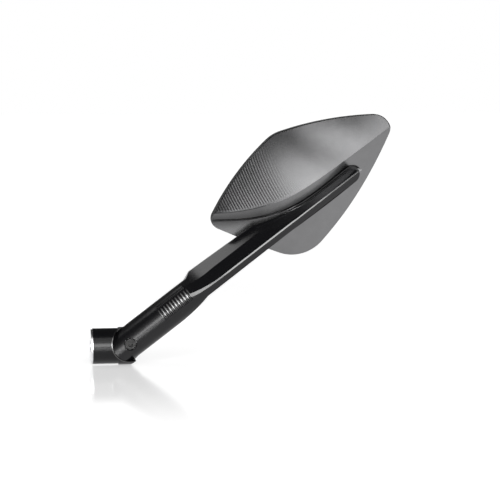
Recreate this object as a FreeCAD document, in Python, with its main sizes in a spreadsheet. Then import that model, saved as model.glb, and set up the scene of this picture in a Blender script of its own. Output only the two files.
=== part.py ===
import FreeCAD, Part
import math
import os
from FreeCAD import Placement, Rotation, Vector
import Sketcher

# Motorcycle mirror with a hinged foot, a milled arm and a ball-jointed billet head.
# Row frame: origin at the middle of the mounting face, +X along the foot, +Z up, glass towards +Y.
# Arm frame: origin on the pivot, local x along the arm, y across it (up), z towards the back (-Y).

doc = FreeCAD.newDocument("motorcycle_mirror")
sheet = doc.addObject("Spreadsheet::Sheet", "Sizes")

DRIVING_SIZES = {
    # Foot
    "foot_radius": 14.2, "foot_length": 22.0, "collar_radius": 15.0, "collar_length": 30.0,
    "foot_bore_depth": 15.2, "end_gap": 0.5,
    "flange_radius": 13.6, "flange_thickness": 1.5, "bush_radius": 8.0, "thread_radius": 4.4,
    # Pivot
    "pivot_along": 30.9, "pivot_height": 2.7, "arm_angle": 37.0,
    "lap_radius": 14.0, "lap_clearance": 0.4, "disc_thickness": 0.5, "face_gap": 0.05,
    "screw_radius": 2.5, "screw_fit": 0.05, "screw_head_radius": 4.1, "screw_head_height": 4.6,
    "socket_across": 4.0, "socket_depth": 2.6,
    "counterbore_radius": 5.1, "counterbore_floor": 5.0, "pivot_bush_wall": 1.0,
    "disc_spring_height": 0.6, "disc_spring_thickness": 0.4, "washer_thickness": 0.8,
    "nut_across": 8.0, "nut_height": 5.0, "nut_seat": 8.0, "nut_clearance": 0.1,
    # Arm
    "arm_radius": 12.9, "tip_overhang": 14.7, "tip_rise": 1.4, "slot_middle": -2.85,
    "nest_gap": 1.9,
    "waist_start": 33.0, "waist_end": 72.0, "lower_edge": -7.7,
    "front_tilt": 35.0, "front_depth": 9.57, "front_start": 57.0, "front_run": 33.0,
    "top_tilt": 57.0, "top_depth": 9.84, "top_start": 60.0, "top_run": 25.0,
    "ridge_tilt": 6.0, "ridge_depth": 12.35, "ridge_start": 60.0, "ridge_run": 30.0,
    "nest_tilt": 58.0, "nest_depth": 5.43, "nest_start": 135.0, "nest_run": 32.0,
    "nest_entry": 9.4, "fin_foot": 60.0, "fin_foot_height": 10.45, "fin_heel": 71.6, "fin_height": 15.1,
    "fin_end": 141.0, "fin_front": 8.0, "fin_back": -6.5, "back_flat": -9.0, "back_start": 46.0,
    "back_ramp": 95.0, "back_level": 155.0, "arm_back": 0.5,
    "rib_start": 33.0, "rib_pitch": 1.4, "rib_land": 0.8, "rib_depth": 0.4, "rib_count": 20, "rib_floor": 12.3,
    "rib_from": -9.0, "rib_sweep": 64.0,
    # Ball joint
    "ball_along": 208.0, "ball_depth": -10.0, "ball_radius": 4.2, "ball_fit": 0.05,
    "liner_wall": 0.9, "liner_half_height": 2.6, "stud_neck_radius": 2.0, "stud_thread_radius": 2.5,
    "stud_thread_length": 8.0, "stud_flange_radius": 3.6, "stud_flange_thickness": 1.7,
    "stud_washer_thickness": 0.8, "seat_radius": 8.0, "seat_split": 0.4, "seat_height": 3.8,
    "cup_height": 4.0, "seat_spring_height": 0.9, "seat_spring_thickness": 0.5,
    "seat_spring_bore": 4.2, "plate_radius": 12.4, "plate_thickness": 1.6, "plate_bore": 3.0,
    "boss_radius": 12.6, "plate_screw_circle": 10.2, "plate_screw_radius": 1.0,
    "plate_screw_length": 6.0, "plate_screw_head": 1.9, "plate_screw_sink": 1.1, "plate_screw_count": 3,
    "plate_clearance": 0.2, "floor_hole_radius": 3.4, "seat_cone": 25.0,
    # Head
    "rim_depth": -21.0, "slot_floor": -4.0, "slot_half_width": 7.0, "slot_overhang": 15.0,
    "valley_end": 186.0, "valley_bend_radius": 105.0, "valley_turn": 34.8, "valley_dip_radius": 155.0,
    "valley_slope": 10.5, "glass_recess": 3.6, "rim_wall": 1.8, "glass_thickness": 3.0,
    "glass_setback": 0.3, "glass_clearance": 0.2, "tape_setback": 0.5, "ledge_width": 5.0,
    "shell_wall": 3.0, "lip_radius": 3.0, "edge_radius": 1.2,
}

for row, (alias, value) in enumerate(DRIVING_SIZES.items(), start=1):
    sheet.set(f"A{row}", alias)
    sheet.set(f"B{row}", str(value))
    sheet.setAlias(f"B{row}", alias)
doc.recompute()


class Size:
    """A length with both its number and the sheet expression that gives it."""

    def __init__(self, value, text=None):
        self.value = float(value)
        self.text = text or repr(float(value))

    def _join(self, sign, other, value):
        return Size(value, f"({self.text} {sign} {other.text})")

    def __add__(self, other):
        other = as_size(other)
        return self._join("+", other, self.value + other.value)

    def __sub__(self, other):
        other = as_size(other)
        return self._join("-", other, self.value - other.value)

    def __mul__(self, other):
        other = as_size(other)
        return self._join("*", other, self.value * other.value)

    def __neg__(self):
        return Size(-self.value, f"(0 - {self.text})")

    def __radd__(self, other):
        return as_size(other) + self

    def __rsub__(self, other):
        return as_size(other) - self

    def __rmul__(self, other):
        return as_size(other) * self


def as_size(value):
    return value if isinstance(value, Size) else Size(value)


class SheetSizes:
    """Gives each sheet cell by its alias, as in d.foot_radius."""

    def __getattr__(self, alias):
        return Size(sheet.get(alias), "Sizes." + alias)


d = SheetSizes()


def bind(target, **sizes):
    for prop, length in sizes.items():
        target.setExpression(prop, as_size(length).text)


PIVOT = Vector(d.pivot_along.value, 0, d.pivot_height.value)
TURN_TO_ARM = Rotation(Vector(0, 1, 0), -d.arm_angle.value) * Rotation(Vector(1, 0, 0), 90)
ROW = Placement()
ARM = Placement(PIVOT, TURN_TO_ARM)
TO_X = Rotation(Vector(0, 1, 0), 90)
BALL = Vector(d.ball_along.value, d.slot_middle.value, d.ball_depth.value)
REACH = 40.0
ARM_TIP = d.ball_along + d.tip_overhang
SLOT_END = d.ball_along + d.slot_overhang
SLOT_TOP = d.slot_middle + d.slot_half_width


def at(frame, x=0.0, y=0.0, z=0.0, turn=Rotation()):
    parts = [as_size(part).value for part in (x, y, z)]
    return frame * Placement(Vector(*parts), turn)


def add(kind, name, placement, **sizes):
    primitive = doc.addObject(kind, name)
    bind(primitive, **sizes)
    primitive.Placement = placement
    return primitive


def cylinder(name, placement, radius, height):
    return add("Part::Cylinder", name, placement, Radius=radius, Height=height)


def cut(name, base, *tools):
    result = base
    for step, tool in enumerate(tools):
        piece = doc.addObject("Part::Cut", f"{name}_cut{step}")
        piece.Base = result
        piece.Tool = tool
        result = piece
    return result


def fuse(name, *pieces):
    joined = doc.addObject("Part::MultiFuse", name)
    joined.Shapes = list(pieces)
    return joined


def common(name, first, second):
    shared = doc.addObject("Part::Common", name)
    shared.Base = first
    shared.Tool = second
    return shared


def group(name, pieces):
    several = doc.addObject("Part::Compound", name)
    several.Links = pieces
    return several


def new_body(name, frame=ROW):
    body = doc.addObject("PartDesign::Body", name)
    body.Placement = frame
    return body


def new_sketch(body, name, plane, offset=0.0, turn=Rotation()):
    sketch = body.newObject("Sketcher::SketchObject", name)
    for feature in body.Origin.OriginFeatures:
        if feature.Role == plane:
            sketch.AttachmentSupport = [(feature, "")]
    sketch.MapMode = "FlatFace"
    sketch.AttachmentOffset = Placement(Vector(0, 0, as_size(offset).value), turn)
    if isinstance(offset, Size):
        sketch.setExpression("AttachmentOffset.Base.z", offset.text)
    return sketch


def pin_point(sketch, edge, end, x, y):
    """Ties one end of an edge to its place, measured from the sketch's origin."""
    for kind, axis, length in (("DistanceX", -2, x), ("DistanceY", -1, y)):
        length = as_size(length)
        if abs(length.value) < 1e-9:
            sketch.addConstraint(Sketcher.Constraint("PointOnObject", edge, end, axis))
            continue
        index = sketch.addConstraint(Sketcher.Constraint(kind, -1, 1, edge, end, length.value))
        sketch.setExpression(f"Constraints[{index}]", length.text)


def arc_between(start, end, radius):
    """The counter-clockwise arc of this radius that bulges to the right of start to end."""
    middle = (start + end) * 0.5
    chord = end - start
    left = Vector(-chord.y, chord.x, 0)
    left.normalize()
    rise = math.sqrt(radius ** 2 - (chord.Length / 2) ** 2)
    centre = middle + left * rise
    first = math.atan2(start.y - centre.y, start.x - centre.x)
    last = math.atan2(end.y - centre.y, end.x - centre.x)
    circle = Part.Circle(centre, Vector(0, 0, 1), radius)
    return Part.ArcOfCircle(circle, first, last)


def draw_loop(sketch, corners, bulges=None):
    """A closed outline of (x, y) corners; bulges gives the radius of each edge that is an arc.

    A negative radius bends the edge inwards, and a half circle stands on an upright edge.
    """
    bulges = bulges or {}
    points = [Vector(as_size(x).value, as_size(y).value, 0) for x, y in corners]
    count = len(points)
    hollow = set()
    for edge in range(count):
        start, end = points[edge], points[(edge + 1) % count]
        radius = bulges.get(edge)
        if radius is None:
            sketch.addGeometry(Part.LineSegment(start, end), False)
        elif as_size(radius).value > 0:
            sketch.addGeometry(arc_between(start, end, as_size(radius).value), False)
        else:
            hollow.add(edge)
            sketch.addGeometry(arc_between(end, start, -as_size(radius).value), False)
    for edge in range(count):
        after = (edge + 1) % count
        this_end = 1 if edge in hollow else 2
        next_start = 2 if after in hollow else 1
        sketch.addConstraint(Sketcher.Constraint("Coincident", edge, this_end, after, next_start))
        pin_point(sketch, edge, 2 if edge in hollow else 1, *corners[edge])
        if edge not in bulges:
            continue
        radius = as_size(bulges[edge])
        half_chord = (points[after] - points[edge]).Length / 2
        if abs(radius.value - half_chord) < 1e-6:
            length = as_size(corners[edge][0])
            index = sketch.addConstraint(Sketcher.Constraint("DistanceX", -1, 1, edge, 3, length.value))
        else:
            length = -radius if edge in hollow else radius
            index = sketch.addConstraint(Sketcher.Constraint("Radius", edge, length.value))
        sketch.setExpression(f"Constraints[{index}]", length.text)


def pad_body(name, frame, plane, corners, start, length, bulges=None, turn=Rotation()):
    """A closed outline on one of the frame's planes, extruded along that plane's normal."""
    body = new_body(name, frame)
    sketch = new_sketch(body, name + "_outline", plane, start, turn)
    draw_loop(sketch, corners, bulges)
    pad = body.newObject("PartDesign::Pad", name + "_pad")
    pad.Profile = sketch
    bind(pad, Length=length)
    return body


def turned_body(name, frame, corners, bulges=None):
    """A profile of (radius, height) corners turned about the frame's z axis."""
    body = new_body(name, frame)
    sketch = new_sketch(body, name + "_profile", "XZ_Plane")
    draw_loop(sketch, corners, bulges)
    turned = body.newObject("PartDesign::Revolution", name + "_turned")
    turned.Profile = sketch
    turned.ReferenceAxis = (sketch, ["V_Axis"])
    turned.Angle = 360
    return body


def ring(name, frame, inner, outer, low, high):
    return turned_body(name, frame, [(inner, low), (outer, low), (outer, high), (inner, high)])


# Foot

def make_foot():
    end = d.foot_length + d.collar_length
    blank = turned_body("foot_blank", Placement(Vector(), TO_X), [
        (d.bush_radius, d.flange_thickness), (d.foot_radius, d.flange_thickness),
        (d.foot_radius, d.foot_length), (d.collar_radius, d.foot_length),
        (d.collar_radius, end), (0, end), (0, d.foot_bore_depth), (d.bush_radius, d.foot_bore_depth)])
    slant = math.sqrt(0.5)
    tangent_x = d.pivot_along + slant * d.arm_radius
    tangent_z = d.pivot_height - slant * d.arm_radius
    below = Size(-REACH / 2)
    ear = pad_body("foot_ear", ROW, "XZ_Plane", [
        (-REACH / 2, below), (tangent_x - tangent_z + below, below), (tangent_x, tangent_z),
        (d.pivot_along, d.pivot_height + d.arm_radius), (-REACH / 2, d.pivot_height + d.arm_radius)],
        -REACH, 2 * REACH, {2: d.arm_radius})
    lap_face = 0.5 * d.disc_thickness + d.face_gap
    pocket = cylinder("foot_lap", at(ARM, z=-lap_face), d.lap_radius + d.lap_clearance, REACH)
    hole = cylinder("foot_hole", at(ARM, z=-REACH), d.screw_radius + d.screw_fit, 2 * REACH)
    across = (0.5 / math.cos(math.radians(30))) * (d.nut_across + 2 * d.nut_clearance)
    nut_pocket = add("Part::Prism", "foot_nut_pocket", at(ARM, z=-d.nut_seat - REACH),
                     Circumradius=across, Height=REACH)
    return cut("foot", common("foot_shape", blank, ear), pocket, hole, nut_pocket)


def make_mount_bush():
    inner_end = d.foot_bore_depth - d.end_gap
    return turned_body("mount_bush", Placement(Vector(), TO_X), [
        (d.thread_radius, 0), (d.flange_radius, 0), (d.flange_radius, d.flange_thickness),
        (d.bush_radius, d.flange_thickness), (d.bush_radius, inner_end), (d.thread_radius, inner_end)])


# Pivot

STACK_FLOOR = d.counterbore_floor + d.face_gap
WASHER_FLOOR = STACK_FLOOR + 2 * d.disc_spring_height
HEAD_FLOOR = WASHER_FLOOR + d.washer_thickness


def make_pivot_screw():
    tip = -d.nut_seat - d.nut_height
    top = HEAD_FLOOR + d.screw_head_height
    blank = turned_body("screw_blank", ARM, [
        (0, tip), (d.screw_radius, tip), (d.screw_radius, HEAD_FLOOR),
        (d.screw_head_radius, HEAD_FLOOR), (d.screw_head_radius, top), (0, top)])
    socket = add("Part::Prism", "screw_socket", at(ARM, z=top - d.socket_depth),
                 Circumradius=(0.5 / math.cos(math.radians(30))) * d.socket_across, Height=REACH)
    return cut("screw", blank, socket)


def make_pivot_washer():
    return ring("pivot_washer", ARM, d.screw_radius, d.screw_head_radius, WASHER_FLOOR, HEAD_FLOOR)


def make_disc_springs():
    """Two coned washers back to back, touching at their outer rims."""
    inner, outer = d.screw_radius, d.screw_head_radius
    middle = STACK_FLOOR + d.disc_spring_height
    wall = d.disc_spring_thickness
    lower = turned_body("disc_spring_lower", ARM, [
        (inner, STACK_FLOOR), (outer, middle - wall), (outer, middle), (inner, STACK_FLOOR + wall)])
    upper = turned_body("disc_spring_upper", ARM, [
        (inner, WASHER_FLOOR - wall), (outer, middle), (outer, middle + wall), (inner, WASHER_FLOOR)])
    return group("disc_springs", [lower, upper])


def make_friction_disc():
    half = 0.5 * d.disc_thickness
    return ring("friction_disc", ARM, d.screw_radius + d.pivot_bush_wall, d.arm_radius, -half, half)


def make_pivot_bush():
    lap_face = 0.5 * d.disc_thickness + d.face_gap
    bore = d.screw_radius + d.screw_fit
    return ring("pivot_bush", ARM, bore, bore + d.pivot_bush_wall, lap_face, d.counterbore_floor)


def make_lock_nut():
    circumradius = (0.5 / math.cos(math.radians(30))) * d.nut_across
    block = add("Part::Prism", "nut_block", at(ARM, z=-d.nut_seat - d.nut_height),
                Circumradius=circumradius, Height=d.nut_height)
    bore = cylinder("nut_bore", at(ARM, z=-REACH), d.screw_radius, REACH)
    return cut("nut", block, bore)


# Arm

def inclined_cut(name, tilt, start, start_depth, run, depth):
    """A milled flat whose normal leans from the back towards the top, entered along a tangent arc."""
    turn = Placement(Vector(), Rotation(Vector(1, 0, 0), -as_size(tilt).value))
    drop = start_depth - depth
    radius = Size((run.value ** 2 + drop.value ** 2) / (2 * drop.value))
    level_start = start + run
    far = ARM_TIP + REACH
    return pad_body(name, ARM * turn, "XZ_Plane", [
        (start, start_depth), (level_start, depth), (far, depth), (far, REACH), (start, REACH)],
        -REACH, 2 * REACH, {0: radius})


def make_ribs():
    """Fine cross ribs: a comb profile swept part of the way round the arm's axis."""
    body = new_body("rib_comb", ARM * Placement(Vector(), Rotation(Vector(1, 0, 0), -d.rib_from.value)))
    sketch = new_sketch(body, "rib_profile", "XZ_Plane")
    count = int(d.rib_count.value)
    corners = []
    for rib in range(count):
        land = d.rib_start + rib * d.rib_pitch
        corners.append((land, d.rib_floor))
        corners.append((land + d.rib_land, d.rib_floor))
        corners.append((land + 0.5 * (d.rib_land + d.rib_pitch), d.rib_floor - d.rib_depth))
    end = d.rib_start + count * d.rib_pitch
    corners += [(end, d.rib_floor), (end, d.arm_radius + 1), (d.rib_start, d.arm_radius + 1)]
    draw_loop(sketch, corners)
    swept = body.newObject("PartDesign::Revolution", "rib_sweep")
    swept.Profile = sketch
    swept.ReferenceAxis = (sketch, ["H_Axis"])
    bind(swept, Angle=d.rib_sweep)
    swept.Reversed = True
    return body


def make_arm():
    rod = cylinder("arm_rod", at(ARM, x=-REACH / 2, turn=TO_X), d.arm_radius, ARM_TIP + REACH)
    nest_end = d.valley_end + 2
    nest_radius = d.valley_bend_radius + d.nest_gap
    bend_reach = nest_end.value - d.fin_end.value
    bend_rise = nest_radius.value - math.sqrt(nest_radius.value ** 2 - bend_reach ** 2)
    fin_end_height = SLOT_TOP - d.nest_gap + bend_rise
    fin = pad_body("arm_fin", ARM, "XY_Plane", [
        (d.fin_foot, 0), (ARM_TIP, 0), (d.fin_end, fin_end_height), (d.fin_heel, d.fin_height),
        (d.fin_foot, d.fin_foot_height)], d.fin_back, d.fin_front - d.fin_back)
    wide = d.arm_radius + 1
    run = d.waist_end - d.waist_start
    rise = d.lower_edge + d.arm_radius
    waist_radius = Size((run.value ** 2 + rise.value ** 2) / (2 * rise.value))
    tip_top = SLOT_TOP - d.nest_gap
    tip_low = d.slot_middle - d.slot_half_width + d.nest_gap + d.tip_rise
    tip_radius = 0.5 * (tip_top - tip_low)
    outline = pad_body("arm_outline", ARM, "XY_Plane", [
        (-REACH / 2, -wide), (d.waist_start, -wide), (d.waist_start, -d.arm_radius),
        (d.waist_end, d.lower_edge), (ARM_TIP, tip_low),
        (ARM_TIP, tip_top), (nest_end, tip_top), (d.fin_end, fin_end_height),
        (d.fin_heel, d.fin_height), (d.fin_foot, d.fin_height), (-REACH / 2, d.fin_height)],
        -REACH, 2 * REACH, {2: waist_radius, 4: tip_radius, 6: -nest_radius})
    blank = common("arm_blank", fuse("arm_solid", rod, fin), outline)
    lap_end = cylinder("arm_lap_end", at(ARM, z=-REACH), d.lap_radius, 2 * REACH)
    beyond = add("Part::Box", "arm_beyond", at(ARM, y=-REACH, z=-REACH),
                 Length=ARM_TIP + REACH, Width=2 * REACH, Height=2 * REACH)
    rounded = common("arm_rounded", blank, fuse("arm_keep", lap_end, beyond))
    lap_face = 0.5 * d.disc_thickness + d.face_gap
    lap = cylinder("arm_lap", at(ARM, z=lap_face - REACH), d.lap_radius + d.lap_clearance, REACH)
    front = inclined_cut("arm_front", d.front_tilt, d.front_start, d.arm_radius, d.front_run, d.front_depth)
    top = inclined_cut("arm_top", d.top_tilt, d.top_start, d.arm_radius, d.top_run, d.top_depth)
    ridge = inclined_cut("arm_ridge", d.ridge_tilt, d.ridge_start, d.arm_radius, d.ridge_run, d.ridge_depth)
    nest = inclined_cut("arm_nest", d.nest_tilt, d.nest_start, d.nest_entry, d.nest_run, d.nest_depth)
    far = ARM_TIP + REACH
    back = pad_body("arm_back_cut", ARM, "XZ_Plane", [
        (d.back_start, -REACH), (far, -REACH), (far, d.arm_back), (d.back_level, d.arm_back),
        (d.back_ramp, d.back_flat), (d.waist_end, d.back_flat), (d.back_start, -d.arm_radius)],
        -REACH, 2 * REACH)
    bush_hole = cylinder("arm_bush_hole", at(ARM, z=-REACH),
                         d.screw_radius + d.screw_fit + d.pivot_bush_wall, 2 * REACH)
    head_hole = cylinder("arm_head_hole", at(ARM, z=d.counterbore_floor), d.counterbore_radius, REACH)
    stud_hole = cylinder("arm_stud_hole", at(ARM, d.ball_along, d.slot_middle, d.arm_back),
                         d.stud_thread_radius, d.stud_thread_length)
    return cut("arm", rounded, lap, front, top, ridge, nest, back, make_ribs(), bush_hole, head_hole,
               stud_hole)


# Ball joint

LINER_INNER = d.ball_radius + d.ball_fit
LINER_OUTER = LINER_INNER + d.liner_wall
SOCKET = LINER_OUTER + d.ball_fit
AT_BALL = at(ARM, d.ball_along, d.slot_middle, d.ball_depth)


def make_ball_stud():
    under = d.arm_back - d.stud_washer_thickness
    flange_low = under - d.stud_flange_thickness
    tip = d.arm_back + d.stud_thread_length
    frame = at(ARM, d.ball_along, d.slot_middle)
    shank = turned_body("stud_shank", frame, [
        (0, d.ball_depth), (d.stud_neck_radius, d.ball_depth), (d.stud_neck_radius, flange_low),
        (d.stud_flange_radius, flange_low), (d.stud_flange_radius, under),
        (d.stud_thread_radius, under), (d.stud_thread_radius, tip), (0, tip)])
    ball = add("Part::Sphere", "stud_ball", AT_BALL, Radius=d.ball_radius)
    ball.Angle1 = -math.degrees(math.asin(d.liner_half_height.value / d.ball_radius.value))
    return fuse("stud", shank, ball)


def make_stud_washer():
    frame = at(ARM, d.ball_along, d.slot_middle)
    return ring("stud_washer", frame, d.stud_thread_radius, d.stud_flange_radius,
                d.arm_back - d.stud_washer_thickness, d.arm_back)


def touching_cone(ball, height):
    """The radius, this far from the ball's middle, of a cone that touches a ball of this radius."""
    cone = math.radians(d.seat_cone.value)
    return (1 / math.cos(cone)) * (ball - math.sin(cone) * height)


def make_ball_liner():
    """A ring that is round outside, in its conical seats, and grips the ball with two cones inside."""
    half = d.liner_half_height
    outer_end = math.sqrt(LINER_OUTER.value ** 2 - half.value ** 2)
    inner_end = touching_cone(LINER_INNER, half)
    groove = touching_cone(LINER_INNER, 0 * half)
    return turned_body("ball_liner", AT_BALL, [
        (inner_end, -half), (outer_end, -half), (outer_end, half), (inner_end, half), (groove, 0)],
        {1: LINER_OUTER})


def seat_half(name, height, side):
    """One conical seat half, above (side 1) or below (side -1) the ball's middle."""
    low = 0.5 * d.seat_split
    return turned_body(name, AT_BALL, [
        (touching_cone(SOCKET, low), side * low), (d.seat_radius, side * low),
        (d.seat_radius, side * height), (touching_cone(SOCKET, height), side * height)][::side])


def make_seat_ring():
    return seat_half("seat_ring", d.seat_height, 1)


def make_seat_cup():
    return seat_half("seat_cup", d.cup_height, -1)


CUP_FLOOR = d.ball_depth - d.cup_height
PLATE_TOP = CUP_FLOOR - d.seat_spring_height
PLATE_BOTTOM = PLATE_TOP - d.plate_thickness
SEAT_FRAME = at(ARM, d.ball_along, d.slot_middle)


def make_seat_spring():
    wall = d.seat_spring_thickness
    return turned_body("seat_spring", SEAT_FRAME, [
        (d.seat_spring_bore, CUP_FLOOR - wall), (d.seat_radius, PLATE_TOP),
        (d.seat_radius, PLATE_TOP + wall), (d.seat_spring_bore, CUP_FLOOR)])


def screw_spots():
    count = int(d.plate_screw_count.value)
    for spot in range(count):
        angle = 2 * math.pi * spot / count
        yield (BALL.x + d.plate_screw_circle.value * math.cos(angle),
               BALL.y + d.plate_screw_circle.value * math.sin(angle))


def make_retainer_plate():
    disc = ring("plate_disc", SEAT_FRAME, d.plate_bore, d.plate_radius, PLATE_BOTTOM, PLATE_TOP)
    tools = []
    for x, y in screw_spots():
        tools.append(cylinder("plate_hole", at(ARM, x, y, PLATE_BOTTOM - 1), d.plate_screw_radius, REACH))
        tools.append(cylinder("plate_sink", at(ARM, x, y, PLATE_BOTTOM - 1),
                              d.plate_screw_head, d.plate_screw_sink + 1))
    return cut("retainer_plate", disc, *tools)


def make_retainer_screws():
    screws = []
    for spot, (x, y) in enumerate(screw_spots()):
        top = PLATE_BOTTOM + d.plate_screw_sink
        screws.append(turned_body(f"retainer_screw{spot}", at(ARM, x, y), [
            (0, PLATE_BOTTOM), (d.plate_screw_head, PLATE_BOTTOM), (d.plate_screw_head, top),
            (d.plate_screw_radius, top), (d.plate_screw_radius, PLATE_BOTTOM + d.plate_screw_length),
            (0, PLATE_BOTTOM + d.plate_screw_length)]))
    return group("retainer_screws", screws)


# Head

# Corners of the head's outline in the arm frame, and the radius of each side and of each corner
OUTLINE = [(106.9, 34.5), (151.1, -36.9), (272.5, 6.5), (273.2, 19.5), (193.0, 60.3)]
SIDE_RADII = [900.0, 337.0, 60.0, 270.0, 215.0]
CORNER_RADII = [9.0, 32.0, 10.0, 12.0, 30.0]

# Stations of the back: along the arm, then (across, height over the rim) of the lower edge,
# the shoulder beside the slot, the crest and the upper edge
BACK = [
    (90.0, (24.0, 3.0), (26.0, 3.5), (53.0, 9.0), (60.0, 5.0)),
    (118.0, (-6.0, 5.5), (0.0, 7.0), (38.3, 15.5), (54.0, 6.5)),
    (140.0, (-32.0, 6.0), (-10.0, 11.5), (26.2, 21.0), (59.0, 6.5)),
    (160.0, (-44.0, 5.0), (-10.0, 15.5), (17.2, 26.0), (64.0, 6.0)),
    (180.0, (-43.0, 5.0), (-10.0, 18.2), (13.3, 28.8), (66.0, 5.5)),
    (205.0, (-36.0, 6.0), (-10.0, 18.6), (11.8, 29.3), (63.0, 6.0)),
    (235.0, (-25.0, 6.5), (-10.0, 13.6), (10.0, 26.5), (50.0, 6.5)),
    (260.0, (-12.0, 6.0), (-5.0, 9.8), (8.6, 19.5), (34.0, 6.5)),
    (290.0, (2.0, 4.0), (4.0, 5.0), (6.8, 8.5), (18.0, 5.0)),
]
CROWN = 260.0
SHOULDER_BLEND = 8.0
GRID_STEP = 10
BACK_LEFT, BACK_RIGHT = 100, 280
BACK_LOW, BACK_HIGH = -40, 70

# How far along the arm the valley starts, clear of the head's left edge
VALLEY_LEFT = 92.0


def station(along):
    """The back's corners at a place along the arm, on a smooth curve through the stations."""
    step = max(i for i in range(len(BACK) - 1) if BACK[i][0] <= along or i == 0)
    before, start, end, after = (BACK[min(max(step + shift, 0), len(BACK) - 1)] for shift in (-1, 0, 1, 2))
    span = end[0] - start[0]
    t = (along - start[0]) / span
    corners = []
    for corner in range(1, 5):
        spot = []
        for part in range(2):
            slope_in = (end[corner][part] - before[corner][part]) / (end[0] - before[0]) * span
            slope_out = (after[corner][part] - start[corner][part]) / (after[0] - start[0]) * span
            spot.append((2 * t ** 3 - 3 * t ** 2 + 1) * start[corner][part]
                        + (t ** 3 - 2 * t ** 2 + t) * slope_in
                        + (3 * t ** 2 - 2 * t ** 3) * end[corner][part]
                        + (t ** 3 - t ** 2) * slope_out)
        corners.append(tuple(spot))
    return corners


def lower_height(corners, across):
    """Height of the lower facet: two slopes that blend into each other at the shoulder."""
    lower, shoulder, crest, _ = corners
    inner = (crest[1] - shoulder[1]) / (crest[0] - shoulder[0])
    outer = (shoulder[1] - lower[1]) / (shoulder[0] - lower[0])
    offset = across - shoulder[0]
    bend = SHOULDER_BLEND - math.hypot(offset, SHOULDER_BLEND)
    return shoulder[1] + (inner + outer) / 2 * offset + (outer - inner) / 2 * bend


def upper_height(corners, across):
    """Height of the upper facet: a crowned slope from the crest to the upper edge."""
    _, _, crest, upper = corners
    width = upper[0] - crest[0]
    share = (across - crest[0]) / width
    crown = width ** 2 / (2 * CROWN) * share * (1 - share)
    return crest[1] + (upper[1] - crest[1]) * share + crown


def make_facet(name, height_at, wall):
    """The solid under one smooth facet of the back, moved in by the wall."""
    low = d.rim_depth.value - as_size(wall).value
    rows = []
    for along in range(BACK_LEFT, BACK_RIGHT + 1, GRID_STEP):
        corners = station(along)
        rows.append([Vector(along, across, low + height_at(corners, across))
                     for across in range(BACK_LOW, BACK_HIGH + 1, GRID_STEP)])
    surface = Part.BSplineSurface()
    surface.interpolate(rows)
    facet = doc.addObject("Part::Feature", name)
    facet.Shape = surface.toShape().extrude(Vector(0, 0, -3 * REACH))
    facet.Placement = ARM
    return facet


def middle_normal(face):
    first_u, last_u, first_v, last_v = face.ParameterRange
    return face.normalAt((first_u + last_u) / 2, (first_v + last_v) / 2)


def round_facet(half, radius):
    """Rounds the edge all round the sculpted face, the largest one that looks out of the back."""
    doc.recompute()
    outwards = TURN_TO_ARM.multVec(Vector(0, 0, 1))
    looking_out = [face for face in half.Shape.Faces if middle_normal(face).dot(outwards) > 0.3]
    sculpted = max(looking_out, key=lambda face: face.Area)
    rounding = doc.addObject("Part::Fillet", half.Name + "_rounded")
    rounding.Base = half
    rounding.Edges = [(number, radius.value, radius.value)
                      for number, edge in enumerate(half.Shape.Edges, start=1)
                      if any(edge.isSame(side) for side in sculpted.Edges)]
    return rounding


def make_roof(name, outline, wall, rounding=None):
    """The outline under the back's two facets, which meet at the crest and move in by the wall."""
    lower = common(name + "_lower", outline, make_facet(name + "_lower_facet", lower_height, wall))
    upper = common(name + "_upper", outline, make_facet(name + "_upper_facet", upper_height, wall))
    if rounding:
        upper = round_facet(upper, rounding)
    return common(name, lower, upper)


def valley_side(along):
    """How far across the valley's upper side lies: level beside the slot, then bent, then straight."""
    back = (d.valley_end + 2).value - along
    bend = d.valley_bend_radius.value
    turn = math.radians(d.valley_turn.value)
    if back <= 0:
        return SLOT_TOP.value
    if back <= bend * math.sin(turn):
        return SLOT_TOP.value + bend - math.sqrt(bend ** 2 - back ** 2)
    rise = bend * (1 - math.cos(turn))
    return SLOT_TOP.value + rise + math.tan(turn) * (back - bend * math.sin(turn))


def lip_edges(shape):
    """Numbers of the edges where the valley's upper side meets the sculpted back."""
    to_arm = ARM.inverse()
    numbers = []
    for number, edge in enumerate(shape.Edges, start=1):
        spots = [to_arm.multVec(spot) for spot in edge.discretize(5)]
        beside = all(abs(spot.y - valley_side(spot.x)) < 0.01 for spot in spots)
        faces = shape.ancestorsOfType(edge, Part.Face)
        sculpted = any(isinstance(face.Surface, Part.BSplineSurface) for face in faces)
        if beside and sculpted and edge.Length > d.lip_radius.value * 5:
            numbers.append(number)
    return numbers


def make_valley(name, wall):
    """The open valley from the head's edge to the arm's slot, made wider and deeper by the wall."""
    low = d.slot_middle - d.slot_half_width - wall
    high = d.slot_middle + d.slot_half_width + wall
    right = d.valley_end + 2
    bend = d.valley_bend_radius - wall
    turn = math.radians(d.valley_turn.value)
    bend_start = right - math.sin(turn) * bend
    bend_height = high + (1 - math.cos(turn)) * bend
    left_height = bend_height + math.tan(turn) * (bend_start - VALLEY_LEFT)
    plan = pad_body(name + "_plan", ARM, "XY_Plane", [
        (VALLEY_LEFT, low), (right, low), (right, high), (bend_start, bend_height),
        (VALLEY_LEFT, left_height)], -REACH, 2 * REACH, {2: -bend})
    floor = d.slot_floor - wall
    slope = math.radians(d.valley_slope.value)
    dip = d.valley_dip_radius
    dip_start = right - math.sin(slope) * dip
    dip_floor = floor - (1 - math.cos(slope)) * dip
    left_floor = dip_floor - math.tan(slope) * (dip_start - VALLEY_LEFT)
    side = pad_body(name + "_side", ARM, "XZ_Plane", [
        (VALLEY_LEFT, left_floor), (dip_start, dip_floor), (right, floor), (right, REACH),
        (VALLEY_LEFT, REACH)], -2 * REACH, 4 * REACH, {1: -dip})
    return common(name, plan, side)


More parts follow.
